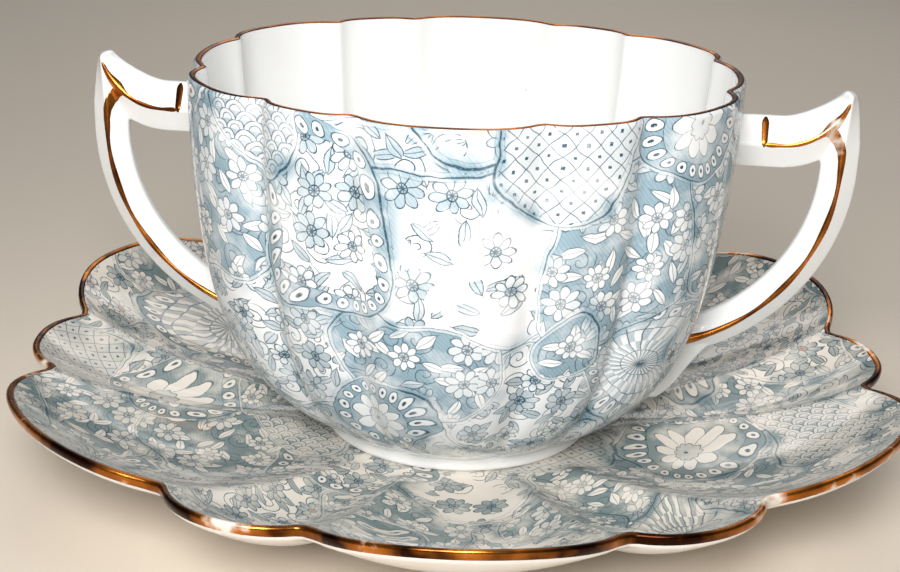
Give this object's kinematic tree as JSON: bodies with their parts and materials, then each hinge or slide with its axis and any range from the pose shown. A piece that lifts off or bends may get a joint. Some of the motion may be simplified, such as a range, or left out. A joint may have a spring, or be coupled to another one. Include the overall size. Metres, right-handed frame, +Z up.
{
  "type": "bouillon cup and saucer",
  "caption": "Fluted bouillon cup with a looped handle at each side, standing on a petal-edged saucer, with gilt edges and a blue-grey printed outside; the cup lifts off its saucer.",
  "frame": {"origin": "on the table, on the shared axis of cup and saucer", "axes": "+Z up; the handles point along +X and -X; the cup's front faces -Y"},
  "size_m": [0.153, 0.1574, 0.0704],
  "materials": {
    "printed_china": "glossy clear glaze over a dense blue-grey transfer print on white bone china, the cup's inside plain white",
    "white_china": "glossy clear glaze over plain white bone china",
    "gilding": "burnished brown-gold gilding, a little worn"
  },
  "bodies": {
    "saucer": {"saucer_dish": "printed_china", "saucer_foot_ring": "white_china", "saucer_rim_gilding": "gilding"},
    "cup": {"cup_bowl": "printed_china", "cup_foot_ring": "white_china", "cup_rim_gilding": "gilding", "left_handle": "white_china", "right_handle": "white_china", "left_handle_gilding": "gilding", "right_handle_gilding": "gilding"}
  },
  "joints": [
    {"name": "cup_lift", "type": "slide", "parent": "saucer", "child": "cup", "axis": [0, 0, 1], "range_m": [0, 0.1]}
  ]
}
